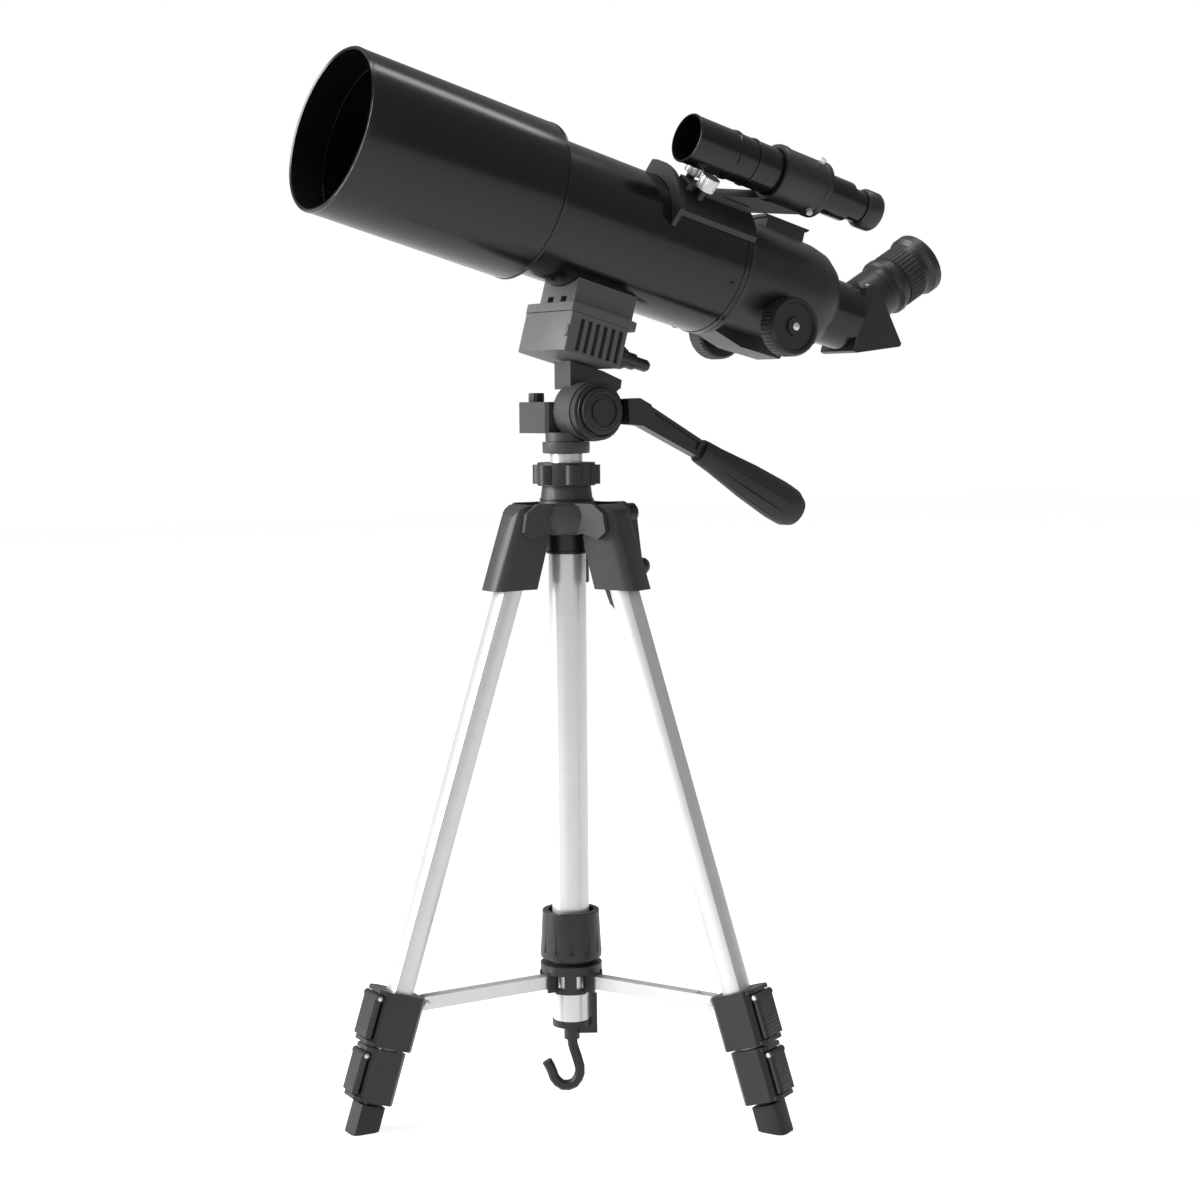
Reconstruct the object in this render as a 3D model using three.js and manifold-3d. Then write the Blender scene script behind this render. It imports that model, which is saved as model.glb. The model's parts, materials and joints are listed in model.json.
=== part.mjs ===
// Refracting telescope on a small photographic tripod. Millimetres, +Z up, front of the tube towards -X.
// Everything is laid out round the axis of the centre column; the last step centres the box on X and Y.
import * as THREE from "three";
import { mergeVertices } from "three/addons/utils/BufferGeometryUtils.js";
import Module from "manifold-3d";

const wasm = await Module();
wasm.setup();

// ---- driving dimensions ----
const GAP = 0.3;

const LEG_AZIMUTHS = [56, 176, 296];
const LEG_TILT = 17.73;
const PIVOT_R = 30;
const PIVOT_Z = 383;
const FLOOR_D = 383 / Math.cos((LEG_TILT * Math.PI) / 180);
const SECTION_UPPER = [17, 15];
const SECTION_MIDDLE = [14.4, 12.4];
const SECTION_LOWER = [11.8, 9.8];
const WALL = 1;
const SECTION_GAP = 0.6;
const LOCK_UPPER = { top: 311, bottom: 346.2, inner: -14, outer: 14.2, half: 13.5, seat: 330 };
const LOCK_LOWER = { top: 348, bottom: 382, inner: -11.6, outer: 12.2, half: 12, seat: 366 };

const GUIDE_R = 12.3;
const GUIDE_BORE_R = 11.1;
const COLUMN_R = 10.6;
const COLUMN_BORE_R = 9.2;
const GUIDE_BOTTOM_Z = 52;
const SHOULDER_TOP_Z = 397;
const SHOULDER_BOTTOM_Z = 376.5;
const PAN_TOP_Z = 437;
const ARM_PIVOT_R = 18;
const ARM_PIVOT_Z = 79;
const ARM_OUTER_R = 107.5;
const ARM_DROP = 1.5;
const LUG = { x: -22, d: 315.6, half: 2.6, height: 3.6 };
const CRANK_AZIMUTH = 356;
const CRANK_Z = 388.5;
const LATCH_LEG = 3;

const TILT_X = 10;
const TILT_Z = 456;
const TUBE_ALTITUDE = 15.19;
const TUBE_AXIS_Z = 583.2;
const SHIELD_R = 52;
const TUBE_R = 45;
const SHIELD_FRONT = -172;
const SHIELD_REAR = -29;
const TUBE_REAR = 121.5;
const DRAW_R = 23.5;
const PINION_S = 165;
const PINION_E = -29.6;
const FINDER_ANGLE = 35;
const FINDER_OFFSET = 78.2;
const SADDLE_R = 48.6;
const FLANGE_R = 55;
const EYE_TILT = 45;

const COLOURS = {
  black_paint: 0x1b1b1d,
  black_plastic: 0x242426,
  grey_plastic: 0x4a4a4e,
  light_plastic: 0x9a9a9a,
  silver_metal: 0xd4d6d8,
  lens_glass: 0x20303a,
  black_rubber: 0x161616,
};

// ---- solids ----
const rad = (degrees) => (degrees * Math.PI) / 180;

function solid(geometry) {
  const bare = geometry.clone();
  bare.deleteAttribute("normal");
  bare.deleteAttribute("uv");
  const merged = mergeVertices(bare, 1e-4);
  const position = merged.attributes.position;
  const corner = (i) => new THREE.Vector3().fromBufferAttribute(position, i);
  const triangles = [];
  let volume = 0;
  for (let i = 0; i < merged.index.count; i += 3) {
    const [a, b, c] = [0, 1, 2].map((k) => merged.index.getX(i + k));
    if (a === b || b === c || a === c) continue;
    triangles.push([a, b, c]);
    volume += corner(a).dot(corner(b).cross(corner(c)));
  }
  const order = volume < 0 ? ([a, b, c]) => [a, c, b] : (t) => t;
  const mesh = new wasm.Mesh({
    numProp: 3,
    vertProperties: new Float32Array(position.array),
    triVerts: new Uint32Array(triangles.flatMap(order)),
  });
  return new wasm.Manifold(mesh);
}

const join = (first, ...others) => others.reduce((sum, part) => sum.add(part), first);
const cut = (first, ...others) => others.reduce((rest, part) => rest.subtract(part), first);

function box(x, y, z) {
  const size = [x, y, z].map(([low, high]) => high - low);
  const middle = [x, y, z].map(([low, high]) => (high + low) / 2);
  return solid(new THREE.BoxGeometry(...size).translate(...middle));
}

const TURNS = {
  x: (geometry) => geometry.rotateZ(-Math.PI / 2),
  y: (geometry) => geometry,
  z: (geometry) => geometry.rotateX(Math.PI / 2),
};

// A turned solid about an axis; the profile is a list of [radius, distance along the axis].
function turned(axis, profile, segments = 32) {
  const points = profile.map(([r, t]) => new THREE.Vector2(Math.max(r, 0), t));
  return solid(TURNS[axis](new THREE.LatheGeometry(points, segments)));
}

function rod(axis, radius, from, to, segments = 24) {
  return turned(axis, [[0, from], [radius, from], [radius, to], [0, to]], segments);
}

function pipe(axis, outer, inner, from, to, segments = 32) {
  return turned(axis, [[inner, from], [outer, from], [outer, to], [inner, to], [inner, from]], segments);
}

// A plate in the XZ plane given by its corners, between two distances along Y.
function plateXZ(corners, y0, y1) {
  const shape = new THREE.Shape(corners.map(([x, z]) => new THREE.Vector2(x, z)));
  const geometry = new THREE.ExtrudeGeometry(shape, { depth: y1 - y0, bevelEnabled: false });
  return solid(geometry.rotateX(Math.PI / 2).translate(0, y1, 0));
}

// A plate in the XY plane given by its corners, between two heights.
function plateXY(corners, z0, z1) {
  const shape = new THREE.Shape(corners.map(([x, y]) => new THREE.Vector2(x, y)));
  return solid(new THREE.ExtrudeGeometry(shape, { depth: z1 - z0, bevelEnabled: false }).translate(0, 0, z0));
}

// Corners of a rectangle, its four corners rounded in short steps.
function roundedRectangle(x0, x1, y0, y1, radius, steps = 2) {
  const centres = [[x1 - radius, y1 - radius, 0], [x0 + radius, y1 - radius, 90]];
  centres.push([x0 + radius, y0 + radius, 180], [x1 - radius, y0 + radius, 270]);
  return centres.flatMap(([x, y, start]) =>
    Array.from({ length: steps + 1 }, (_, k) => {
      const angle = rad(start + (90 * k) / steps);
      return [x + radius * Math.cos(angle), y + radius * Math.sin(angle)];
    }),
  );
}

function arcPoints(x, y, radius, from, to, steps) {
  return Array.from({ length: steps + 1 }, (_, k) => {
    const angle = rad(from + ((to - from) * k) / steps);
    return [x + radius * Math.cos(angle), y + radius * Math.sin(angle)];
  });
}

function roundedBar([width, depth], z0, z1, radius) {
  return plateXY(roundedRectangle(-depth / 2, depth / 2, -width / 2, width / 2, radius), z0, z1);
}

const moved = (part, x, y, z) => part.translate([x, y, z]);

function mesh(name, part, slot) {
  const data = part.getMesh();
  const geometry = new THREE.BufferGeometry();
  geometry.setAttribute("position", new THREE.BufferAttribute(new Float32Array(data.vertProperties), 3));
  geometry.setIndex(new THREE.BufferAttribute(new Uint32Array(data.triVerts), 1));
  geometry.computeVertexNormals();
  const material = new THREE.MeshStandardMaterial({ color: COLOURS[slot], name: slot });
  const result = new THREE.Mesh(geometry, material);
  result.name = name;
  return result;
}

function group(name, ...children) {
  const result = new THREE.Group();
  result.name = name;
  result.add(...children.flat());
  return result;
}

// ---- tripod legs: local -Z runs down the leg from its pivot, +X faces outwards ----
function coverSolid() {
  const outline = [[-12.5, -10], [-13.7, -39], [14.4, -48.5], [15.6, -8], [15.1, 0], [13, 6.4], [9.2, 10.6]];
  outline.push([4, 12.4], [-3, 12], [-9, 8]);
  const domed = [...arcPoints(6.6, 4, 9, 90, 0, 4), ...arcPoints(6.6, -4, 9, 0, -90, 4), [-14, -13], [-14, 13]];
  const section = plateXY(domed, -60, 20);
  const pocket = roundedBar(SECTION_UPPER.map((size) => size + SECTION_GAP), -60, -18, 4);
  return cut(plateXZ(outline, -13, 13).intersect(section), pocket);
}

// A pointed carrying latch that hangs from the inner edge of one cover.
function latchSolid() {
  return plateXZ([[-13.4, -34], [-9.4, -34], [-8.6, -44], [-8.2, -57], [-12.2, -50]], -2, 2);
}

function sectionTube(section, from, to) {
  const inner = section.map((size) => size - 2 * WALL);
  return cut(roundedBar(section, -to, -from, 4), roundedBar(inner, -to - 1, -from + 1, 3));
}

function lockSolid(lock, above, below) {
  const { top, bottom, inner, outer, half, seat } = lock;
  const body = plateXY(roundedRectangle(inner, outer, -half, half, 3, 1), -bottom, -top);
  const rims = [[top, top + 2.6], [bottom - 2.6, bottom]].map(([from, to]) =>
    plateXY(roundedRectangle(inner, outer + 3.4, -half + 1.5, half - 1.5, 3, 1), -to, -from),
  );
  const wide = roundedBar(above.map((size) => size + SECTION_GAP), -seat, -top + 1, 4);
  const narrow = roundedBar(below.map((size) => size + SECTION_GAP), -bottom - 1, -seat + 1, 3);
  return cut(join(body, ...rims), wide, narrow);
}

function lugSolid() {
  const height = [-LUG.d - LUG.height, -LUG.d + LUG.height];
  return box([LUG.x, LOCK_UPPER.inner + 1], [-LUG.half, LUG.half], height);
}

function leverSolid(lock) {
  const { top, bottom, outer, half } = lock;
  const barrel = 2.5;
  const hinge = rod("y", barrel, -half + 3, half - 3, 12);
  const x0 = outer + GAP;
  const x1 = x0 + 2 * barrel;
  const plate = plateXY(roundedRectangle(x0, x1, -half + 3, half - 3, 1.6, 1), -(bottom - 3.6), -(top + 5.6));
  return join(plate, moved(hinge, x0 + barrel, 0, -(top + 5.6)));
}

function legSolids() {
  const section = (s, from, to) => sectionTube(s, from, to);
  const footBlock = plateXY(roundedRectangle(-9.2, 9.2, -9, 9, 4), -FLOOR_D - 6, -384.5);
  return {
    cover: coverSolid(),
    tubeUpper: section(SECTION_UPPER, 18 + GAP, LOCK_UPPER.seat - GAP),
    lockUpper: join(lockSolid(LOCK_UPPER, SECTION_UPPER, SECTION_MIDDLE), lugSolid()),
    leverUpper: leverSolid(LOCK_UPPER),
    tubeMiddle: section(SECTION_MIDDLE, 30, LOCK_LOWER.seat - GAP),
    lockLower: lockSolid(LOCK_LOWER, SECTION_MIDDLE, SECTION_LOWER),
    leverLower: leverSolid(LOCK_LOWER),
    footSection: join(section(SECTION_LOWER, 44, 386), cut(footBlock, floorCut())),
  };
}

// Everything below the floor, seen from the leg's own frame.
function floorCut() {
  const slab = box([-60, 60], [-60, 60], [-60, 0]);
  return moved(slab.rotate([0, LEG_TILT, 0]), 0, 0, -FLOOR_D);
}

function leg(index, azimuth, solids) {
  const n = index + 1;
  const parts = [
    mesh(`leg_${n}_cover`, n === LATCH_LEG ? join(solids.cover, latchSolid()) : solids.cover, "grey_plastic"),
    mesh(`leg_${n}_tube_upper`, solids.tubeUpper, "silver_metal"),
    mesh(`leg_${n}_lock_upper`, solids.lockUpper, "black_plastic"),
    mesh(`leg_${n}_lever_upper`, solids.leverUpper, "black_plastic"),
    mesh(`leg_${n}_tube_middle`, solids.tubeMiddle, "silver_metal"),
    mesh(`leg_${n}_lock_lower`, solids.lockLower, "black_plastic"),
    mesh(`leg_${n}_lever_lower`, solids.leverLower, "black_plastic"),
    mesh(`leg_${n}_foot_section`, solids.footSection, "black_rubber"),
  ];
  const tilted = group(`leg_${n}_frame`, parts);
  tilted.position.set(PIVOT_R, 0, PIVOT_Z);
  tilted.rotation.y = -rad(LEG_TILT);
  const turnedLeg = group(`leg_${n}_side`, tilted, mesh(`brace_arm_${n}`, armSolid(), "silver_metal"));
  turnedLeg.rotation.z = rad(azimuth);
  return turnedLeg;
}

// Channel-shaped arm, open below, with a round end on each pivot; the outer end straddles the lug of the lock.
function armSolid() {
  const radius = 4.3;
  const half = 4.2;
  const length = Math.hypot(ARM_OUTER_R - ARM_PIVOT_R, ARM_DROP);
  const bar = box([0, length], [-half, half], [-radius, radius]);
  const ends = [0, length].map((x) => moved(rod("y", radius, -half, half, 14), x, 0, 0));
  const channel = box([-6, length + 6], [-half + 1.2, half - 1.2], [-6, 3]);
  const fork = box([length - 12, length + 6], [-half + 1.2, half - 1.2], [-6, 6]);
  const arm = cut(join(bar, ...ends), channel, fork);
  const slope = (Math.atan2(ARM_DROP, ARM_OUTER_R - ARM_PIVOT_R) * 180) / Math.PI;
  return moved(arm.rotate([0, slope, 0]), ARM_PIVOT_R, 0, ARM_PIVOT_Z);
}

// ---- centre of the tripod ----
function shoulderSolid() {
  const body = turned("z", [[0, 376.5], [22, 376.5], [26, 379], [28.5, 389], [27, 395], [24, 397], [0, 397]], 30);
  const cheeks = LEG_AZIMUTHS.map((azimuth) => {
    const sides = [-1, 1].map((side) => {
      const outline = [[8, 377.5], [24, 377.5], [34, 374], [40, 379], [38, 391], [30, 397], [8, 397]];
      const y = side < 0 ? [-17.6, -13.4] : [13.4, 17.6];
      return plateXZ(outline, ...y);
    });
    return join(...sides).rotate([0, 0, azimuth]);
  });
  const seats = LEG_AZIMUTHS.map((azimuth) =>
    box([14.5, 60], [-13.4, 13.4], [370, 400]).rotate([0, 0, azimuth]),
  );
  const boss = turned("x", [[0, 12], [8, 12], [8, 43], [7, 44.5], [0, 44.5]], 18);
  const bore = rod("x", 2.9, 24, 46, 12);
  const place = (part) => moved(part, 0, 0, CRANK_Z).rotate([0, 0, CRANK_AZIMUTH]);
  const core = cut(body, ...seats);
  const cone = turned("z", [[0, 396], [17.5, 396], [16, 407.7], [0, 407.7]], 24);
  const whole = join(core, ...cheeks, place(boss), cone);
  const guideBore = rod("z", GUIDE_R + GAP, 370, SHOULDER_TOP_Z + GAP, 24);
  return cut(whole, place(bore), guideBore, rod("z", COLUMN_R + GAP, 390, 410, 20));
}

function crankSolid() {
  const shaft = rod("x", 2.5, 34, 49, 10);
  const hub = turned("x", [[0, 45], [6.6, 45], [6.6, 50], [5, 51.5], [0, 51.5]], 16);
  const outline = [[45.2, 4], [50, 4], [53.5, -24], [55.5, -38], [51, -40.5], [48.6, -24]];
  const arm = plateXZ(outline, -4, 4);
  const knobProfile = [[0, 51.5], [3.4, 51.5], [5.6, 53.5], [5.6, 58.5], [4, 60.5], [0, 60.5]];
  const knob = moved(turned("x", knobProfile, 16), 0, 0, -36);
  return join(arm, shaft, hub, knob);
}

function lobedCollar() {
  const body = rod("z", 19, 408, 423, 30);
  const lobes = Array.from({ length: 6 }, (_, k) => {
    const lobe = moved(rod("z", 5.2, 409, 421.5, 12), 17.8, 0, 0);
    return lobe.rotate([0, 0, 60 * k + 12]);
  });
  return cut(join(body, ...lobes), rod("z", COLUMN_R + GAP, 400, 430, 28));
}

function flutedCollar() {
  const body = turned("z", [[0, 94.6], [20.2, 94.6], [20.4, 98], [18.7, 126], [0, 126]], 24);
  const grooves = Array.from({ length: 12 }, (_, k) =>
    moved(rod("z", 1.4, 99, 121, 8), 20.6, 0, 0).rotate([0, 0, 30 * k]),
  );
  const mouth = rod("z", 15.4, 119, 130, 28);
  return cut(body, rod("z", GUIDE_R + GAP, 90, 130, 28), mouth, ...grooves);
}

function hubSolid() {
  const ring = turned("z", [[0, 84.5], [20.5, 84.5], [20.5, 90.5], [15.5, 92], [15.5, 94.3], [0, 94.3]], 24);
  const posts = LEG_AZIMUTHS.map((azimuth) => {
    const post = box([13.2, 17.5], [-4, 4], [72.5, 86]);
    return post.rotate([0, 0, azimuth + 60]);
  });
  const base = rod("z", 15, 70.8, 74, 18);
  const ears = LEG_AZIMUTHS.map((azimuth) => {
    const pair = [-1, 1].map((side) =>
      box([13, 20.5], side < 0 ? [-6.3, -4.5] : [4.5, 6.3], [72.5, 86]),
    );
    return join(...pair).rotate([0, 0, azimuth]);
  });
  const slots = LEG_AZIMUTHS.map((azimuth) =>
    box([13, 26], [-4.5, 4.5], [60, 84.5]).rotate([0, 0, azimuth]),
  );
  return cut(join(ring, base, ...posts, ...ears), ...slots, rod("z", GUIDE_R + GAP, 60, 100, 20));
}

function plugSolid() {
  const disc = rod("z", 12.9, 47.5, GUIDE_BOTTOM_Z - GAP, 24);
  const strap = box([12.9, 17], [-3, 3], [42, 68]);
  const foot = box([4, 17], [-3, 3], [42, 48]);
  const place = (part) => part.rotate([0, 0, -31.7]);
  return cut(join(disc, place(strap), place(foot)), rod("z", 5.6, 40, 50.5, 20));
}

function hookSolid() {
  const stem = rod("z", 5.2, 38, 50, 20);
  const path = new THREE.CatmullRomCurve3(
    [[0, 42], [0.5, 34], [3.5, 24], [5.2, 15], [1, 7], [-6.5, 5.8], [-12, 11], [-14, 17], [-17, 22.5]].map(
      ([x, z]) => new THREE.Vector3(x, 0, z),
    ),
  );
  const section = new THREE.Shape(roundedRectangle(-3, 3, -3.3, 3.3, 1.6, 1).map((p) => new THREE.Vector2(...p)));
  const sweep = new THREE.ExtrudeGeometry(section, { steps: 16, bevelEnabled: false, extrudePath: path });
  return join(stem, solid(sweep)).rotate([0, 0, -31.7]);
}

function centre() {
  return [
    mesh("shoulder", shoulderSolid(), "grey_plastic"),
    mesh("column_lock_collar", lobedCollar(), "black_plastic"),
    mesh("column_sleeve", pipe("z", 13.6, GUIDE_R + GAP, 363.5, SHOULDER_BOTTOM_Z - GAP), "black_plastic"),
    mesh("column_guide", pipe("z", GUIDE_R, GUIDE_BORE_R, GUIDE_BOTTOM_Z, SHOULDER_TOP_Z, 28), "silver_metal"),
    mesh("centre_column", pipe("z", COLUMN_R, COLUMN_BORE_R, 60, 428.7, 24), "silver_metal"),
    crank(),
    mesh("brace_collar", flutedCollar(), "black_plastic"),
    mesh("brace_hub", hubSolid(), "black_plastic"),
    mesh("column_plug", plugSolid(), "black_plastic"),
    mesh("weight_hook", hookSolid(), "black_plastic"),
  ];
}

function crank() {
  const result = mesh("lift_crank", crankSolid(), "black_plastic");
  result.position.z = CRANK_Z;
  result.rotation.z = rad(CRANK_AZIMUTH);
  return result;
}

// ---- pan and tilt head ----
function head() {
  const panBase = turned("z", [[0, 429], [15, 429], [15.5, 430], [15.5, 436.4], [0, 436.4]], 32);
  const block = plateXY(roundedRectangle(-14, 14, 1.5, 38, 2, 1), 442, 462.5);
  const cheekRoom = moved(rod("y", 19.8, -30, 1.4, 36), TILT_X, 0, TILT_Z);
  const hub = cut(rod("z", 13.5, 436.7, 442.5, 24), cheekRoom);
  const axle = moved(rod("y", 4, -28, 2, 14), TILT_X, 0, TILT_Z);
  const knob = moved(rod("z", 4.6, 462, 468.5, 14), -3, 32, 0);
  return [
    mesh("pan_base", panBase, "grey_plastic"),
    mesh("head_body", join(block, hub, axle, knob), "grey_plastic"),
    mesh("tilt_bracket", tiltBracket(), "grey_plastic"),
    mesh("tilt_disc", tiltDisc(), "black_plastic"),
    mesh("handle_bar", handleBar(), "black_plastic"),
    grip(),
  ];
}

function tiltBracket() {
  const cheek = moved(rod("y", 19.4, -18.8, 1.2, 36), TILT_X, 0, TILT_Z);
  const neck = plateXZ([[0, 470.6], [39, 470.6], [40, 476.5], [25, 482.5], [0, 489]], -6.2, 13.6);
  const web = plateXZ([[0, 466], [28, 462], [39, 471.5], [0, 471.5]], -6.2, 1.2);
  const pin = moved(rod("y", 4.3, -40, 10, 14), TILT_X, 0, TILT_Z);
  return cut(join(cheek, neck, web), pin);
}

function tiltDisc() {
  const profile = [[0, -30], [8, -30], [8, -29], [10.5, -29], [10.5, -30], [15, -29.4], [15, -25.5]];
  profile.push([18.8, -24.5], [18.8, -19.1], [0, -19.1]);
  const disc = moved(turned("y", profile, 28), TILT_X, 0, TILT_Z);
  return cut(disc, moved(rod("y", 4.3, -28.3, 0, 14), TILT_X, 0, TILT_Z));
}

const HANDLE_W = 24;

function handleBar() {
  const boss = plateXZ([[29.5, 447.5], [44, 446], [48, 451], [47, 460], [38, 464.5], [28.5, 464]], -31, -19.5);
  const bar = plateXZ([[43, 462], [92, 434.5], [86.5, 424.8], [40, 447]], -HANDLE_W - 5, -HANDLE_W + 5);
  const flutes = [-1, 1].map((side) => {
    const y = side < 0 ? [-HANDLE_W - 6, -HANDLE_W - 3.4] : [-HANDLE_W + 3.4, -HANDLE_W + 6];
    return plateXZ([[51, 455], [87, 434.5], [84.4, 430], [48.4, 450.5]], ...y);
  });
  const disc = moved(rod("y", 19.2, -40, 0, 36), TILT_X, 0, TILT_Z);
  return cut(join(boss, bar), ...flutes, disc);
}

// The grip is turned about its own axis: local +Y runs from the bar to the rounded end.
function grip() {
  const profile = [[0, 0], [8.2, 0], [8.6, 3], [9.2, 14], [12.5, 45], [14, 72], [13.6, 84], [10.5, 91], [5, 94], [0, 94.5]];
  const body = turned("y", profile, 20);
  const grooves = Array.from({ length: 10 }, (_, k) => {
    const groove = rod("y", 1, 12, 80, 4).rotate([0, 0, -4.2]);
    return moved(groove, 9.2, 0, 0).rotate([0, (360 * k) / 10, 0]);
  });
  const result = mesh("handle_grip", cut(body, ...grooves), "black_rubber");
  result.position.set(89.4, -HANDLE_W, 429.4);
  result.rotation.z = -Math.PI / 2;
  const holder = group("handle_grip_frame", result);
  result.position.set(0, 0, 0);
  holder.position.set(89.6, -HANDLE_W, 429.2);
  holder.rotation.y = rad(28.4);
  return holder;
}

// ---- telescope: local +X runs to the rear along the tube, +Z is above it, -Y is the near side ----
function mountBlock() {
  const body = box([9, 55], [-21, 21], [-57.7, -38]);
  const slots = [-11, 5].map((y) => box([8, 15], [y, y + 7], [-57.8, -52]));
  return cut(body, rod("x", TUBE_R + GAP + 0.1, 0, 70, 48), ...slots);
}

function platformSolid() {
  const body = plateXY(roundedRectangle(4, 50, -30, 30, 4), -89.6, -64);
  const slots = Array.from({ length: 6 }, (_, k) =>
    box([12 + 6 * k, 15 + 6 * k], [-31, -26], [-88, -67]),
  );
  return cut(body, ...slots);
}

function lockBolt() {
  const profile = [[0, 50.3], [9, 50.3], [9, 57], [7, 58], [7, 68], [5.6, 69], [5.6, 76], [4.2, 77], [4.2, 86], [3, 88], [0, 88]];
  return moved(turned("x", profile, 12), 0, 0, -77.5);
}

function focuserSolid() {
  const outer = [[0, 122], [45, 122], [45, 125], [40, 126.5], [38.6, 190], [36.5, 201], [32, 209], [25.5, 215], [0, 215]];
  const body = turned("x", outer, 40);
  const keel = plateXZ([[126, -36], [126, -42], [150, -47], [184, -46], [190, -30], [150, -30]], -13, 13);
  const seats = [-1, 1].map((side) => {
    const y = side < 0 ? [-60, -33.9] : [33.9, 60];
    return moved(rod("y", 20.4, ...y, 28), PINION_S, 0, PINION_E);
  });
  const shaft = moved(rod("y", 3.3, -60, 60, 12), PINION_S, 0, PINION_E);
  const hollow = turned("x", [[0, 121], [36, 121], [34, 186], [DRAW_R + GAP, 200], [DRAW_R + GAP, 216], [0, 216]], 28);
  const shoeSeat = box([140, 195], [-12, 12], [36.6, 60]);
  const shell = join(cut(body, hollow), cut(keel, rod("x", 36, 100, 200, 28)));
  return cut(shell, shaft, ...seats, shoeSeat);
}

function focusKnobs() {
  const half = [[0, 0], [2.8, 0], [2.8, 34.4], [18.5, 34.4], [19.7, 36], [19.7, 47.6], [18.6, 49.3], [16.4, 49.3]];
  half.push([15.6, 47.6], [6.6, 47.6], [6.2, 49.3], [0, 49.3]);
  const one = turned("y", half, 26);
  return moved(join(one, one.rotate([180, 0, 0])), PINION_S, 0, PINION_E);
}

function shoeSolid() {
  const body = box([151, 184], [-10.5, 10.5], [36.9, 41.5]);
  const rails = [-1, 1].map((side) => {
    const y = side < 0 ? [-10.5, -6.5] : [6.5, 10.5];
    return box([151, 184], y, [41, 45.5]);
  });
  const front = box([151, 155], [-10.5, 10.5], [41, 45.5]);
  const lip = plateXZ([[149, 44.8], [186, 44.8], [188, 47], [149, 47]], -10.5, 10.5);
  const channel = box([157, 190], [-4, 4], [41.5, 48]);
  return cut(join(body, ...rails, front, lip), channel);
}

function diagonalSolid() {
  const outline = [[240.8, 21], [240.8, -24.6], [244, -25.2], [281, -10.4], [281.6, -8], [263, 11.6], [252, 23], [245, 24]];
  const body = plateXZ(outline, -18.5, 18.5);
  const nose = rod("x", 20.8, 225, 242, 32);
  const neck = turned("x", [[0, 12], [18.5, 12], [18.5, 33], [0, 33]], 32);
  const bore = rod("x", 16.3, 21, 36, 28);
  const pointing = (part) => part.rotate([0, -EYE_TILT, 0]);
  const place = (part) => moved(pointing(part), 240.5, 0, 1);
  const rearHalf = cut(place(neck), box([200, 240.8], [-30, 30], [-40, 60]));
  return cut(join(body, nose, rearHalf), place(bore));
}

// The eyepiece is turned about local X, then raised to the angle of the diagonal.
function eyepiece() {
  const profile = [[0, 24], [15.9, 24], [15.9, 33.4], [18.4, 33.4], [18.4, 40], [20.8, 41.5], [20.8, 45], [19, 46.5]];
  profile.push([19.4, 70], [22.4, 73], [22.4, 78.5], [19.5, 80.4], [17, 78], [0, 74.5]);
  return mesh("eyepiece", turned("x", profile, 28), "black_plastic");
}

function finderSolids() {
  const main = [[15.1, 51], [15.9, 51], [15.9, 84], [16.6, 84.6], [16.6, 86.6], [15.6, 87.2], [15.6, 163], [13.6, 165]];
  main.push([13.6, 186], [11, 188], [11, 198], [0, 198], [0, 175], [12, 160], [15.1, 75], [15.1, 51]);
  const eye = [[0, 198.3], [12, 198.3], [13.5, 200.5], [13.5, 210], [12.6, 211.5], [9, 209], [0, 207.5]];
  const ring = [[15.9 + GAP, 121], [18.8, 121], [19.4, 123], [19.4, 126], [18.6, 127], [18.6, 156], [19.4, 157]];
  ring.push([19.4, 160.5], [15.9 + GAP, 160.5], [15.9 + GAP, 121]);
  return { tube: turned("x", main, 26), eye: turned("x", eye, 24), ring: turned("x", ring, 28) };
}

// Saddle on the main tube, leaning stem and the ring that holds the finder.
function finderBracket(ring) {
  const saddle = rod("x", SADDLE_R, 56, 122, 48).intersect(box([50, 130], [-26, 24], [30, 60]));
  const flange = rod("x", FLANGE_R, 53.6, 57, 48).intersect(box([50, 60], [-33, 27], [25, 61]));
  const foot = box([66, 118], [-7, 7], [44, 52]);
  const stem = plateXZ([[88, 50], [116, 47], [160, FINDER_OFFSET - 17], [123, FINDER_OFFSET - 17]], -5.5, 5.5);
  const raised = cut(stem, moved(rod("x", 15.9 + GAP, 50, 240, 20), 0, 0, FINDER_OFFSET));
  const screws = [-1, 1].map((side) => moved(thumbScrew(), 76, side * 11, 0));
  const base = cut(join(saddle, flange, foot), rod("x", TUBE_R + GAP + 0.1, 40, 130, 48));
  return join(base, raised, moved(ring, 0, 0, FINDER_OFFSET), ...screws);
}

function thumbScrew() {
  const profile = [[0, 46.4], [3, 46.4], [3, 54], [6, 54.5], [6, 62], [5, 63], [0, 63]];
  return turned("z", profile, 12);
}

function finder() {
  const { tube, eye, ring } = finderSolids();
  const tubeMesh = mesh("finder_tube", tube, "black_paint");
  const eyeMesh = mesh("finder_eyepiece", eye, "black_plastic");
  tubeMesh.position.z = FINDER_OFFSET;
  eyeMesh.position.z = FINDER_OFFSET;
  const parts = [mesh("finder_bracket", finderBracket(ring), "black_plastic"), tubeMesh, eyeMesh];
  const result = group("finder_frame", parts);
  result.rotation.x = rad(FINDER_ANGLE);
  return result;
}

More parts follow.
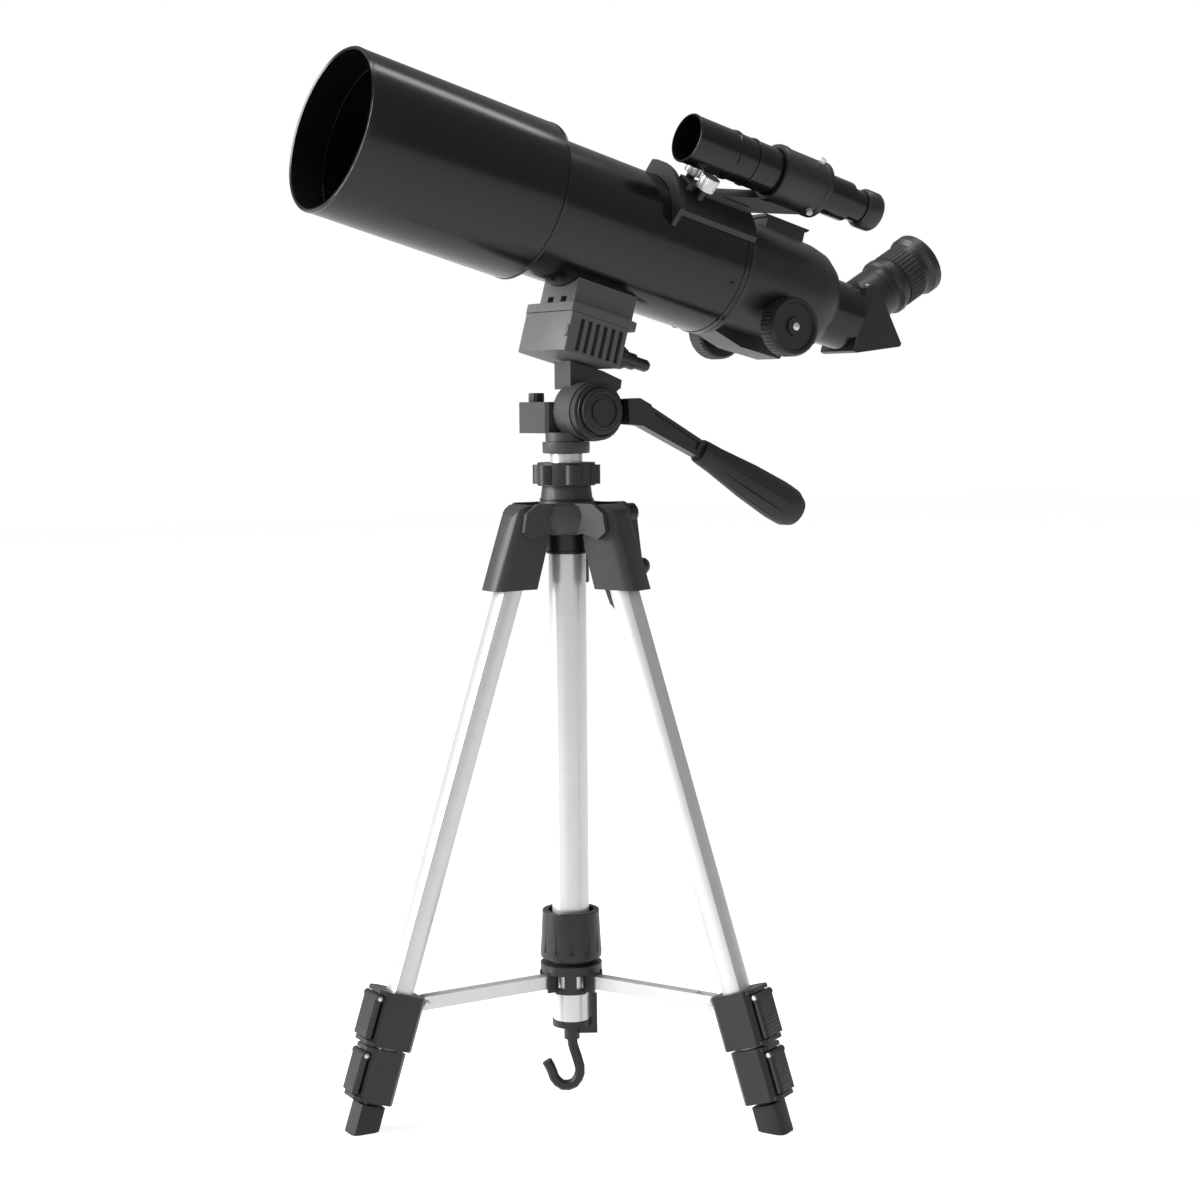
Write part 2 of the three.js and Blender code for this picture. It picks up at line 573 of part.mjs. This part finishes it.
function telescope() {
  const shield = [[SHIELD_R - 2, SHIELD_FRONT], [SHIELD_R - 0.6, SHIELD_FRONT - 0.6], [SHIELD_R, SHIELD_FRONT + 0.6]];
  shield.push([SHIELD_R, SHIELD_REAR - 3], [TUBE_R + 3, SHIELD_REAR], [TUBE_R + GAP, SHIELD_REAR]);
  shield.push([TUBE_R + GAP, -42], [SHIELD_R - 2, -42], [SHIELD_R - 2, SHIELD_FRONT]);
  const cell = [[40, -56], [49.4, -56], [49.4, -42.3], [46, -42.3], [46, -44.8], [40, -44.8], [40, -56]];
  const lens = [[0, -58], [20, -57], [39.5, -53.5], [39.5, -49], [0, -46.5]];
  const eye = group("eyepiece_frame", eyepiece());
  eye.position.set(240.5, 0, 1);
  eye.rotation.y = -rad(EYE_TILT);
  const parts = [
    mesh("dew_shield", turned("x", shield, 48), "black_paint"),
    mesh("objective_cell", turned("x", cell, 32), "black_paint"),
    mesh("objective_lens", turned("x", lens, 28), "lens_glass"),
    mesh("main_tube", pipe("x", TUBE_R, TUBE_R - 2, -44.5, TUBE_REAR, 48), "black_paint"),
    mesh("mount_block", mountBlock(), "light_plastic"),
    mesh("quick_plate", plateXY(roundedRectangle(3, 56, -30, 30, 5), -63.7, -58), "light_plastic"),
    mesh("platform", platformSolid(), "light_plastic"),
    mesh("platform_lock", lockBolt(), "black_plastic"),
    mesh("focuser_body", focuserSolid(), "black_plastic"),
    mesh("focus_knobs", focusKnobs(), "black_plastic"),
    mesh("drawtube", pipe("x", DRAW_R, DRAW_R - 2.2, 140, 240.5, 32), "black_paint"),
    mesh("finder_shoe", shoeSolid(), "grey_plastic"),
    mesh("star_diagonal", diagonalSolid(), "black_plastic"),
    eye,
    finder(),
  ];
  const result = group("telescope_frame", parts);
  result.position.z = TUBE_AXIS_Z;
  result.rotation.y = rad(TUBE_ALTITUDE);
  return result;
}

// ---- assembly ----
const solids = legSolids();
const layout = group("layout", LEG_AZIMUTHS.map((azimuth, i) => leg(i, azimuth, solids)), centre(), head(), telescope());
const part = group("telescope_on_tripod", layout);
part.updateMatrixWorld(true);
const bounds = new THREE.Box3().setFromObject(layout, true);
const middle = bounds.getCenter(new THREE.Vector3());
layout.position.set(-middle.x, -middle.y, -bounds.min.z);

export default part;
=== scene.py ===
"""Small refracting telescope on a pan and tilt tripod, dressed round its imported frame. Metres, +Z up."""

import json
import math

import bpy
from mathutils import Matrix, Vector


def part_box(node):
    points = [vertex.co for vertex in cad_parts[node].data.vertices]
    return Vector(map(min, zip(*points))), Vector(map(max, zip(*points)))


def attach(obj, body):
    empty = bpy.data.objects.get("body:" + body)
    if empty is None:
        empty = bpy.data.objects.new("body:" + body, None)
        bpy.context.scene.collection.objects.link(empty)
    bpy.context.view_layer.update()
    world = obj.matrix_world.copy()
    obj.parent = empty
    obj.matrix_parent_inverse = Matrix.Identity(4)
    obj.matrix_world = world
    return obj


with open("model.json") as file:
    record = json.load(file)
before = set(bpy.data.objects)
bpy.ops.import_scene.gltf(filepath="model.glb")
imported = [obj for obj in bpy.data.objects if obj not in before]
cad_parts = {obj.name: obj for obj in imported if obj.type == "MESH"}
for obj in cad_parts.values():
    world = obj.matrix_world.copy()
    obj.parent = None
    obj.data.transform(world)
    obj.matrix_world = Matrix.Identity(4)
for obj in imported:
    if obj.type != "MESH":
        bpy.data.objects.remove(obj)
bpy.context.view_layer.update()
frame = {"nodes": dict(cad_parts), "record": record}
MM = 0.001
AMBIENT = 0.32  # the world's strength for every ray but the camera's
FLOOR_GLOW = 0.8
CREASE = math.radians(35)
WELD_DISTANCE = 0.02 * MM


# ---------------------------------------------------------------- camera, floor and light

def set_camera():
    """The view from the near left at about the head's height, looking a little down."""
    yaw, pitch, roll = math.radians(32.69), math.radians(5.08), math.radians(-0.5)
    level_forward = Vector((math.sin(yaw), math.cos(yaw), 0))
    forward = level_forward * math.cos(pitch) - Vector((0, 0, math.sin(pitch)))
    level_right = Vector((math.cos(yaw), -math.sin(yaw), 0))
    level_up = level_right.cross(forward)
    right = math.cos(roll) * level_right + math.sin(roll) * level_up
    up = right.cross(forward)
    camera = bpy.data.objects.new("camera", bpy.data.cameras.new("camera"))
    bpy.context.scene.collection.objects.link(camera)
    camera.data.lens = 66.28
    camera.data.sensor_width = 36
    turn = Matrix((right, up, -forward)).transposed().to_4x4()
    camera.matrix_world = Matrix.Translation((-0.8305, -1.2257, 0.4611)) @ turn
    bpy.context.scene.camera = camera


def floor_material():
    """A pale matt finish that glows to the camera and in reflections, to meet the white world."""
    material = bpy.data.materials.new("studio_white")
    material.use_nodes = True
    tree = material.node_tree
    shader = tree.nodes["Principled BSDF"]
    shader.inputs["Base Color"].default_value = (0.55, 0.55, 0.55, 1)
    shader.inputs["Roughness"].default_value = 0.8
    shader.inputs["Emission Color"].default_value = (1, 1, 1, 1)
    rays = tree.nodes.new("ShaderNodeLightPath").outputs
    seen = math_node(tree, "ADD", rays["Is Camera Ray"], rays["Is Glossy Ray"])
    glow = math_node(tree, "MULTIPLY", seen, FLOOR_GLOW)
    tree.links.new(glow, shader.inputs["Emission Strength"])
    return material


def set_floor():
    """A wide flat floor under the feet."""
    deselect()
    bpy.ops.mesh.primitive_plane_add(size=14, location=(0, 0, 0))
    floor = bpy.context.object
    floor.name = "studio_floor"
    floor.data.materials.append(floor_material())


def area_light(name, place, size, watts, target=(0, 0, 0.4)):
    light = bpy.data.objects.new(name, bpy.data.lights.new(name, "AREA"))
    bpy.context.scene.collection.objects.link(light)
    light.data.shape = "RECTANGLE"
    light.data.size, light.data.size_y = size
    light.data.energy = watts
    aim = Vector(target) - Vector(place)
    light.rotation_euler = aim.to_track_quat("-Z", "Y").to_euler()
    light.location = place


def set_light():
    """A world white to the camera and dim to the part, with a key, a strip above and a weak fill."""
    world = bpy.data.worlds.new("studio")
    bpy.context.scene.world = world
    world.use_nodes = True
    tree = world.node_tree
    background = tree.nodes["Background"]
    background.inputs["Color"].default_value = (1, 1, 1, 1)
    seen = tree.nodes.new("ShaderNodeLightPath").outputs["Is Camera Ray"]
    brightness = math_node(tree, "ADD", math_node(tree, "MULTIPLY", seen, 1.0 - AMBIENT), AMBIENT)
    tree.links.new(brightness, background.inputs["Strength"])
    area_light("key_left", (-2.3, 1.0, 1.2), (1.4, 1.8), 92)
    area_light("top_strip", (0, 0.1, 2.4), (3.0, 0.35), 20)
    area_light("front_fill", (-0.6, -2.4, 1.4), (0.6, 1.8), 3)
    bpy.context.scene.view_settings.view_transform = "Standard"


def deselect():
    bpy.ops.object.select_all(action="DESELECT")


# ---------------------------------------------------------------- shared effects

def new_group(name, inputs, outputs):
    """A shader node group with float inputs at their usual values, and float or colour outputs."""
    group = bpy.data.node_groups.new(name, "ShaderNodeTree")
    for label, value in inputs.items():
        socket = group.interface.new_socket(label, in_out="INPUT", socket_type="NodeSocketFloat")
        socket.default_value = value
    for label, kind in outputs.items():
        group.interface.new_socket(label, in_out="OUTPUT", socket_type=kind)
    return group, group.nodes.new("NodeGroupInput"), group.nodes.new("NodeGroupOutput")


def math_node(tree, operation, first, second):
    node = tree.nodes.new("ShaderNodeMath")
    node.operation = operation
    for socket, value in zip(node.inputs, (first, second)):
        if isinstance(value, (int, float)):
            socket.default_value = value
        else:
            tree.links.new(value, socket)
    return node.outputs[0]


def noise(tree, scale, detail):
    """Noise over Object coordinates, with its scale in patches per metre."""
    coordinates = tree.nodes.new("ShaderNodeTexCoord")
    texture = tree.nodes.new("ShaderNodeTexNoise")
    texture.inputs["Detail"].default_value = detail
    if isinstance(scale, (int, float)):
        texture.inputs["Scale"].default_value = scale
    else:
        tree.links.new(scale, texture.inputs["Scale"])
    tree.links.new(coordinates.outputs["Object"], texture.inputs["Vector"])
    return texture.outputs["Fac"]


def surface_grain_group():
    """Fine moulded or sprayed grain: a height for bump and a small change of roughness."""
    group, start, end = new_group(
        "surface_grain",
        {"Grain Scale": 2500.0, "Patch Scale": 30.0, "Roughness": 0.4, "Roughness Spread": 0.1},
        {"Height": "NodeSocketFloat", "Roughness": "NodeSocketFloat"},
    )
    grain = noise(group, start.outputs["Grain Scale"], 2.0)
    patches = noise(group, start.outputs["Patch Scale"], 5.0)
    centred = math_node(group, "SUBTRACT", patches, 0.5)
    change = math_node(group, "MULTIPLY", centred, start.outputs["Roughness Spread"])
    rough = math_node(group, "ADD", change, start.outputs["Roughness"])
    group.links.new(grain, end.inputs["Height"])
    group.links.new(rough, end.inputs["Roughness"])
    return group


def dust_group():
    """Settled dust on faces that look upward, broken up by noise."""
    group, start, end = new_group(
        "settled_dust",
        {"Amount": 0.1, "Patch Scale": 60.0},
        {"Mask": "NodeSocketFloat"},
    )
    geometry = group.nodes.new("ShaderNodeNewGeometry")
    parts = group.nodes.new("ShaderNodeSeparateXYZ")
    group.links.new(geometry.outputs["Normal"], parts.inputs["Vector"])
    upward = math_node(group, "MAXIMUM", parts.outputs["Z"], 0.0)
    broken = math_node(group, "MULTIPLY", upward, noise(group, start.outputs["Patch Scale"], 6.0))
    mask = math_node(group, "MULTIPLY", broken, start.outputs["Amount"])
    group.links.new(mask, end.inputs["Mask"])
    return group


GRAIN = surface_grain_group()
GRAIN_HEIGHT = 0.05 * MM
DUST = dust_group()
DUST_COLOUR = (0.45, 0.44, 0.42)
MOTTLE_SCALE = 90.0


# ---------------------------------------------------------------- materials

def place_group(tree, group, **values):
    node = tree.nodes.new("ShaderNodeGroup")
    node.node_tree = group
    for label, value in values.items():
        node.inputs[label.replace("_", " ")].default_value = value
    return node


def mix_colours(tree, share, first, second):
    """A mix of two colours, each given as red, green and blue or as a socket."""
    node = tree.nodes.new("ShaderNodeMix")
    node.data_type = "RGBA"
    tree.links.new(share, node.inputs[0])
    for socket, value in zip(node.inputs[6:8], (first, second)):
        if isinstance(value, tuple):
            socket.default_value = (*value, 1)
        else:
            tree.links.new(value, socket)
    return node.outputs[2]


def finish_material(name, colour, pale, grain, bump, dust, **shader_values):
    """A finish with mottled colour, grain in its bump and roughness, and a little dust on top."""
    material = bpy.data.materials.new(name)
    material.use_nodes = True
    tree = material.node_tree
    shader = tree.nodes["Principled BSDF"]
    for label, value in shader_values.items():
        shader.inputs[label.replace("_", " ")].default_value = value
    surface = place_group(tree, GRAIN, **grain)
    mottled = mix_colours(tree, noise(tree, MOTTLE_SCALE, 6.0), colour, pale)
    dusty = mix_colours(
        tree, place_group(tree, DUST, Amount=dust).outputs["Mask"], mottled, DUST_COLOUR)
    tree.links.new(dusty, shader.inputs["Base Color"])
    tree.links.new(surface.outputs["Roughness"], shader.inputs["Roughness"])
    relief = tree.nodes.new("ShaderNodeBump")
    relief.inputs["Strength"].default_value = bump
    relief.inputs["Distance"].default_value = GRAIN_HEIGHT
    tree.links.new(surface.outputs["Height"], relief.inputs["Height"])
    tree.links.new(relief.outputs["Normal"], shader.inputs["Normal"])
    return material


def make_materials():
    fine = {"Grain_Scale": 3000.0, "Patch_Scale": 25.0}
    coarse = {"Grain_Scale": 1800.0, "Patch_Scale": 40.0}
    return {
        "black_paint": finish_material(
            "black_enamel", (0.005, 0.005, 0.006), (0.008, 0.008, 0.009),
            {**fine, "Roughness": 0.2, "Roughness_Spread": 0.06}, 0.06, 0.03, Specular_IOR_Level=0.4),
        "black_plastic": finish_material(
            "black_moulding", (0.010, 0.010, 0.011), (0.017, 0.017, 0.018),
            {**coarse, "Roughness": 0.42, "Roughness_Spread": 0.14}, 0.35, 0.08),
        "grey_plastic": finish_material(
            "grey_moulding", (0.034, 0.034, 0.037), (0.048, 0.048, 0.051),
            {**coarse, "Roughness": 0.46, "Roughness_Spread": 0.14}, 0.4, 0.08),
        "light_plastic": finish_material(
            "pale_grained_moulding", (0.10, 0.10, 0.103), (0.14, 0.14, 0.143),
            {**coarse, "Roughness": 0.5, "Roughness_Spread": 0.12}, 0.55, 0.1),
        "silver_metal": finish_material(
            "satin_anodised_metal", (0.74, 0.75, 0.76), (0.82, 0.83, 0.84),
            {**fine, "Roughness": 0.3, "Roughness_Spread": 0.1}, 0.12, 0.03, Metallic=0.5),
        "black_rubber": finish_material(
            "ribbed_rubber", (0.010, 0.010, 0.010), (0.016, 0.016, 0.016),
            {**coarse, "Roughness": 0.62, "Roughness_Spread": 0.15}, 0.6, 0.12),
        "lens_glass": glass_material(),
    }


def glass_material():
    material = bpy.data.materials.new("coated_lens")
    material.use_nodes = True
    tree = material.node_tree
    shader = tree.nodes["Principled BSDF"]
    shader.inputs["Base Color"].default_value = (0.20, 0.30, 0.36, 1)
    shader.inputs["Transmission Weight"].default_value = 0.85
    shader.inputs["IOR"].default_value = 1.5
    surface = place_group(tree, GRAIN, Grain_Scale=1500.0, Roughness=0.04, Roughness_Spread=0.03)
    tree.links.new(surface.outputs["Roughness"], shader.inputs["Roughness"])
    return material


def dress_frame(materials):
    """Each node of the frame gets its finish, and smooth shading with crisp creases."""
    slots = {part["node"]: part["material_slot"] for part in frame["record"]["subparts"]}
    for name, node in frame["nodes"].items():
        node.data.materials.clear()
        node.data.materials.append(materials[slots[name]])
        deselect()
        bpy.context.view_layer.objects.active = node
        node.select_set(True)
        bpy.ops.object.shade_smooth()
        weld = node.modifiers.new("weld", "WELD")
        weld.merge_threshold = WELD_DISTANCE
        crease = node.modifiers.new("crease", "EDGE_SPLIT")
        crease.split_angle = CREASE


# ---------------------------------------------------------------- places on the object

# Lengths here and in at() are millimetres. Along the tube, X runs from the column's axis to the rear.
TUBE_TILT = math.radians(15.19)
TUBE_AXIS_Z = 583.2
FINDER_TURN = math.radians(35)
FINDER_OFFSET = 78.2
PINION_X, PINION_Z = 165, -29.6
EYE_X, EYE_Z = 240.5, 1
EYE_TILT = math.radians(45)
TILT_X, TILT_Z = 10, 456
LEG_AZIMUTHS = (56, 176, 296)
LEG_TILT = math.radians(17.73)
PIVOT_R, PIVOT_Z = 30, 383

COLUMN = (Vector(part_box("column_guide")[0]) + Vector(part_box("column_guide")[1])) / 2
BASE = Matrix.Translation((COLUMN.x, COLUMN.y, 0))
TUBE_CENTRE = Matrix.Translation((COLUMN.x, COLUMN.y, TUBE_AXIS_Z * MM))
TUBE_ORIGIN = TUBE_CENTRE @ Matrix.Rotation(TUBE_TILT, 4, "Y")
FINDER_ORIGIN = TUBE_ORIGIN @ Matrix.Rotation(FINDER_TURN, 4, "X")
FINDER_AXIS = FINDER_ORIGIN @ Matrix.Translation((0, 0, FINDER_OFFSET * MM))
EYE_CORNER = TUBE_ORIGIN @ Matrix.Translation((EYE_X * MM, 0, EYE_Z * MM))
EYE_ORIGIN = EYE_CORNER @ Matrix.Rotation(-EYE_TILT, 4, "Y")


def leg_side(azimuth):
    """The upright frame of a leg: origin at the foot of the column's axis, +X outwards."""
    return BASE @ Matrix.Rotation(math.radians(azimuth), 4, "Z")


def leg_origin(azimuth):
    """The leg's own frame: origin at its pivot, -Z down the leg, +X outwards."""
    pivot = Matrix.Translation((PIVOT_R * MM, 0, PIVOT_Z * MM))
    return leg_side(azimuth) @ pivot @ Matrix.Rotation(-LEG_TILT, 4, "Y")


def at(origin, x, y, z, toward=(0, 0, 1)):
    """A place in one of the frames above, in millimetres, with local Z turned toward a direction."""
    turn = Vector(toward).to_track_quat("Z", "Y").to_matrix().to_4x4()
    return origin @ Matrix.Translation((x * MM, y * MM, z * MM)) @ turn


# ---------------------------------------------------------------- modelling steps

def select_faces(piece, wanted):
    deselect()
    bpy.context.view_layer.objects.active = piece
    piece.select_set(True)
    bpy.context.tool_settings.mesh_select_mode = (False, False, True)
    mesh = piece.data
    for part in (*mesh.vertices, *mesh.edges):
        part.select = False
    for face in mesh.polygons:
        face.select = bool(wanted(face))
    bpy.ops.object.mode_set(mode="EDIT")


def leave_edit():
    bpy.ops.object.mode_set(mode="OBJECT")


def soften(piece, width, segments=2, angle=35):
    """Rounds the edges sharper than the angle in degrees, and applies the result."""
    bevel = piece.modifiers.new("soft_edges", "BEVEL")
    bevel.width = width * MM
    bevel.segments = segments
    bevel.limit_method = "ANGLE"
    bevel.angle_limit = math.radians(angle)
    deselect()
    bpy.context.view_layer.objects.active = piece
    piece.select_set(True)
    bpy.ops.object.modifier_apply(modifier=bevel.name)


def settle(piece, place, material, body):
    """Puts a finished piece at its place with nothing left on its object, and joins it to its body."""
    deselect()
    bpy.context.view_layer.objects.active = piece
    piece.select_set(True)
    piece.matrix_world = place
    bpy.ops.object.transform_apply(location=True, rotation=True, scale=True)
    bpy.ops.object.mode_set(mode="EDIT")
    bpy.ops.mesh.select_all(action="SELECT")
    bpy.ops.mesh.normals_make_consistent(inside=False)
    leave_edit()
    bpy.ops.object.shade_smooth_by_angle(angle=CREASE)
    piece.data.materials.append(material)
    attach(piece, body)
    return piece


def cylinder(name, radius, height, sides):
    """A plain cylinder standing on the origin."""
    deselect()
    bpy.ops.mesh.primitive_cylinder_add(
        vertices=sides, radius=radius * MM, depth=height * MM, location=(0, 0, height / 2 * MM))
    piece = bpy.context.object
    bpy.ops.object.transform_apply(location=True, rotation=False, scale=False)
    piece.name = name
    return piece


def raise_ribs(piece, radius, ribs, margin, rise):
    """Raises every other face of the side; margin and rise are shares of one rib's width."""
    sides = [face.index for face in piece.data.polygons if abs(face.normal.z) < 0.5]
    select_faces(piece, lambda face: face.index in sides[::2])
    rib = math.pi * radius / ribs
    bpy.ops.mesh.inset(thickness=margin * rib * MM, depth=rise * rib * MM, use_individual=True)
    leave_edit()


def cut_through(piece, wall):
    """Opens a cylinder from end to end and leaves a wall of this thickness."""
    select_faces(piece, lambda face: abs(face.normal.z) > 0.9)
    bpy.ops.mesh.inset(thickness=wall * MM, depth=0)
    bpy.ops.mesh.bridge_edge_loops()
    leave_edit()


def knurled_head(name, radius, height, ribs, place, material, body, dish=0.25):
    """A thumb screw's head: raised ribs round the side and a dished end."""
    piece = cylinder(name, radius, height, 2 * ribs)
    raise_ribs(piece, radius, ribs, 0.18, 0.22)
    select_faces(piece, lambda face: face.normal.z > 0.9)
    bpy.ops.mesh.inset(thickness=0.18 * radius * MM, depth=0)
    bpy.ops.mesh.inset(thickness=0.12 * radius * MM, depth=-dish * MM)
    leave_edit()
    soften(piece, 0.03 * radius, 2, 50)
    return settle(piece, place, material, body)


def domed_pin(name, radius, height, place, material, body):
    """A rivet or screw head: a low dome with a turned-down rim."""
    piece = cylinder(name, radius, height, 20)
    select_faces(piece, lambda face: face.normal.z > 0.9)
    for share, rise in ((0.25, 0.18), (0.3, 0.1), (0.25, 0.03)):
        bpy.ops.mesh.inset(thickness=share * radius * MM, depth=rise * radius * MM)
    leave_edit()
    soften(piece, 0.06 * radius)
    return settle(piece, place, material, body)


def collar(name, inner, outer, height, place, material, body, sides=64, edge=0.25):
    """A plain ring round local Z with softened edges."""
    piece = cylinder(name, outer, height, sides)
    cut_through(piece, outer - inner)
    soften(piece, edge)
    return settle(piece, place, material, body)


def ribbed_collar(name, inner, outer, height, ribs, place, material, body):
    """A grip ring with raised ribs round its outside."""
    piece = cylinder(name, outer, height, 2 * ribs)
    raise_ribs(piece, outer, ribs, 0.16, 0.3)
    cut_through(piece, outer - inner)
    soften(piece, 0.12, 2, 50)
    return settle(piece, place, material, body)


# ---------------------------------------------------------------- pieces

def focus_knob_details(silver, rubber):
    """A rubber grip and an end screw on each focus knob."""
    for side, word in ((-1, "near"), (1, "far")):
        face = at(TUBE_ORIGIN, PINION_X, side * 36.2, PINION_Z, (0, side, 0))
        ribbed_collar(
            f"focus_grip_{word}", 17.6, 19.55, 10.8, 44, face, rubber, "knobs")
        end = at(TUBE_ORIGIN, PINION_X, side * 49.1, PINION_Z, (0, side, 0))
        domed_pin(f"focus_screw_{word}", 2.7, 0.9, end, silver, "knobs")


def finder_details(silver, enamel):
    """Thumb screws on the bracket, aiming screws on its ring, and the steps of the finder tube."""
    for side, word in ((-1, "near"), (1, "far")):
        place = at(FINDER_ORIGIN, 76, side * 11, 54.2)
        knurled_head(
            f"finder_thumb_screw_{word}", 6.3, 9.2, 22, place, silver, "telescope")
    for turn, word in ((0, "top"), (120, "left"), (240, "right")):
        place = at(FINDER_AXIS @ Matrix.Rotation(math.radians(turn), 4, "X"), 153, 0, 18.4)
        knurled_head(
            f"finder_aim_screw_{word}", 2.1, 3.4, 12, place, silver, "telescope")
    for distance, radius, word in ((51.1, 16.25, "mouth"), (100, 16.25, "band"), (186.2, 11.6, "step")):
        place = at(FINDER_AXIS, distance, 0, 0, (1, 0, 0))
        collar(
            f"finder_{word}_ring", radius - 1.2, radius, 1.6, place, enamel, "telescope")


def tube_details(enamel):
    """Beads where the tube steps, screws round its rear end, and light baffles in the shield."""
    beads = ((117.6, 45.5, "rear"), (-31.5, 52.3, "shield_rear"), (-171.8, 52.2, "shield_mouth"))
    for distance, radius, word in beads:
        place = at(TUBE_ORIGIN, distance, 0, 0, (1, 0, 0))
        collar(
            f"tube_{word}_bead", radius - 1.0, radius, 1.8, place,
            enamel, "telescope", 96, 0.5)
    for turn in (-70, 110, 20, 200):
        side = TUBE_ORIGIN @ Matrix.Rotation(math.radians(turn), 4, "X")
        place = at(side, 112, 0, 44.6)
        domed_pin(f"tube_screw_{turn % 360}", 1.7, 0.8, place, enamel, "telescope")
    for distance in (-150, -120, -90):
        place = at(TUBE_ORIGIN, distance, 0, 0, (1, 0, 0))
        collar(
            f"light_baffle_{-distance}", 49.2, 49.9, 1.2, place,
            enamel, "telescope", 96)


def eyepiece_details(silver, rubber):
    """The eyepiece's set screw and grip, and the screws and pins of the diagonal."""
    thumb = at(EYE_ORIGIN, 28, 0, -18.2, (0, 0, -1))
    knurled_head("eyepiece_thumb_screw", 2.4, 6.5, 12, thumb, silver, "diagonal")
    grip = at(EYE_ORIGIN, 50, 0, 0, (1, 0, 0))
    ribbed_collar("eyepiece_grip", 18.8, 19.7, 15, 40, grip, rubber, "eyepiece")
    for side, word in ((-1, "near"), (1, "far")):
        place = at(TUBE_ORIGIN, 246, side * 12, 23.2)
        domed_pin(f"diagonal_screw_{word}", 2.0, 1.6, place, silver, "diagonal")
        for height in (-12, 6):
            face = at(TUBE_ORIGIN, 247, side * 18.3, height, (0, side, 0))
            domed_pin(
                f"diagonal_pin_{word}_{height + 12}", 1.3, 0.5, face, rubber, "diagonal")


def head_details(moulding, pale):
    """Lock grip, dial rings on the tilt disc, pan lock knob and the end of the latch barrel."""
    bolt = at(TUBE_ORIGIN, 58.3, 0, -77.5, (1, 0, 0))
    ribbed_collar(
        "platform_lock_grip", 6.0, 7.3, 8.4, 14, bolt, moulding, "plate_lock")
    face = at(BASE, TILT_X, -25.4, TILT_Z, (0, -1, 0))
    for outer, depth, word in ((17.2, 1.2, "outer"), (13.2, 4.6, "middle")):
        collar(
            f"tilt_dial_{word}", outer - 1.3, outer, depth, face,
            moulding, "telescope", 64, 0.3)
    knob = at(BASE, -3, 32, 462.6)
    knurled_head("pan_lock_knob", 5.0, 5.6, 16, knob, moulding, "pan_head")
    barrel = at(TUBE_ORIGIN, 4.6, -25.6, -76.8, (-1, 0, 0))
    knurled_head(
        "platform_latch_end", 4.2, 0.5, 20, barrel, pale, "telescope", 0.15)


def leg_details(silver, moulding):
    """Rivets of the brace arms, and the pins and finger ribs of the lock levers."""
    for number, azimuth in enumerate(LEG_AZIMUTHS, 1):
        leg, flat = leg_origin(azimuth), leg_side(azimuth)
        levers = (f"leg_{number}_lever_a", "upper"), (f"leg_{number}_lever_b", "lower")
        for side, word in ((-1, "a"), (1, "b")):
            for distance, height, end in ((18, 79, "inner"), (107.5, 77.5, "outer")):
                place = at(flat, distance, side * 4.1, height, (0, side, 0))
                domed_pin(
                    f"brace_rivet_{number}_{end}_{word}", 2.2, 0.8, place,
                    silver, "tripod")
            for (body, end), (x, down, half) in zip(levers, ((17, 316.6, 10.5), (15, 353.6, 9))):
                place = at(leg, x, side * (half - 0.1), -down, (0, side, 0))
                domed_pin(
                    f"lever_pin_{number}_{end}_{word}", 1.5, 0.6, place, silver, body)
        for (body, end), (x, down, half) in zip(levers, ((19.3, 331, 8.5), (17.3, 367, 7))):
            for step in range(4):
                place = at(leg, x, 0, -down - 2.2 * step)
                lever_rib(f"lever_{end}_rib_{number}_{step}", half, place, moulding, body)


def lever_rib(name, half, place, material, body):
    """A low finger rib across the lower end of a leg lever."""
    deselect()
    bpy.ops.mesh.primitive_cube_add(size=1, location=(0, 0, 0))
    piece = bpy.context.object
    piece.name = name
    piece.scale = (0.8 * MM, 2 * half * MM, 1.1 * MM)
    bpy.ops.object.transform_apply(location=False, rotation=False, scale=True)
    soften(piece, 0.3, 3)
    settle(piece, place, material, body)


def column_details(moulding):
    """Rings where the column's fittings meet."""
    rings = (
        (124.2, 15.6, 19.0, "collar_top", "brace_lock"),
        (364.0, 12.9, 13.9, "sleeve_foot", "tripod"),
        (398.2, 16.8, 17.8, "cone_foot", "tripod"),
    )
    for height, inner, outer, word, body in rings:
        place = at(BASE, 0, 0, height)
        collar(
            f"column_{word}", inner, outer, 1.4, place, moulding, body, 64, 0.4)


set_camera()
set_floor()
set_light()
MATERIALS = make_materials()
dress_frame(MATERIALS)
SILVER, ENAMEL = MATERIALS["silver_metal"], MATERIALS["black_paint"]
MOULDING, RUBBER = MATERIALS["black_plastic"], MATERIALS["black_rubber"]
focus_knob_details(SILVER, RUBBER)
finder_details(SILVER, ENAMEL)
tube_details(ENAMEL)
eyepiece_details(SILVER, RUBBER)
head_details(MOULDING, MATERIALS["light_plastic"])
leg_details(SILVER, MOULDING)
column_details(MOULDING)
